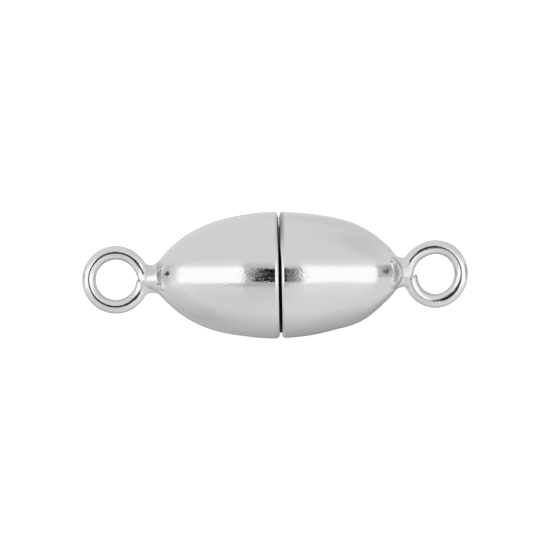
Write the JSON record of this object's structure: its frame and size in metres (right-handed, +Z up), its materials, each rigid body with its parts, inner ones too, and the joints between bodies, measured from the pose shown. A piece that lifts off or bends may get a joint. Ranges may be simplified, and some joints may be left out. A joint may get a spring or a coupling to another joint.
{
  "type": "magnetic clasp",
  "caption": "Polished olive-shaped magnetic jewellery clasp in two hollow halves, with a soldered ring at each end and a disc magnet in each mouth.",
  "frame": {"origin": "on the surface that the clasp lies on, under the middle of its whole length", "axes": "+X along the clasp's middle line, from the half that takes in the other's magnet to the half whose magnet stands proud; +Z up, square to the flat rings; +Y across"},
  "size_m": [0.0242, 0.008, 0.008],
  "materials": {
    "silver": "polished silver",
    "magnet": "bright nickel plate on a magnet"
  },
  "bodies": {
    "left_side": {"left_half": "silver", "left_magnet": "magnet"},
    "right_core": {"right_magnet": "magnet"},
    "right_side": {"right_half": "silver"}
  },
  "joints": [
    {"name": "pull_apart", "type": "slide", "parent": "left_side", "child": "right_core", "axis": [1, 0, 0], "range_m": [0, 0.01]},
    {"name": "swivel", "type": "hinge", "parent": "right_core", "child": "right_side", "pos_m": [0.00031, 0, 0.004], "axis": [1, 0, 0], "continuous": true}
  ]
}
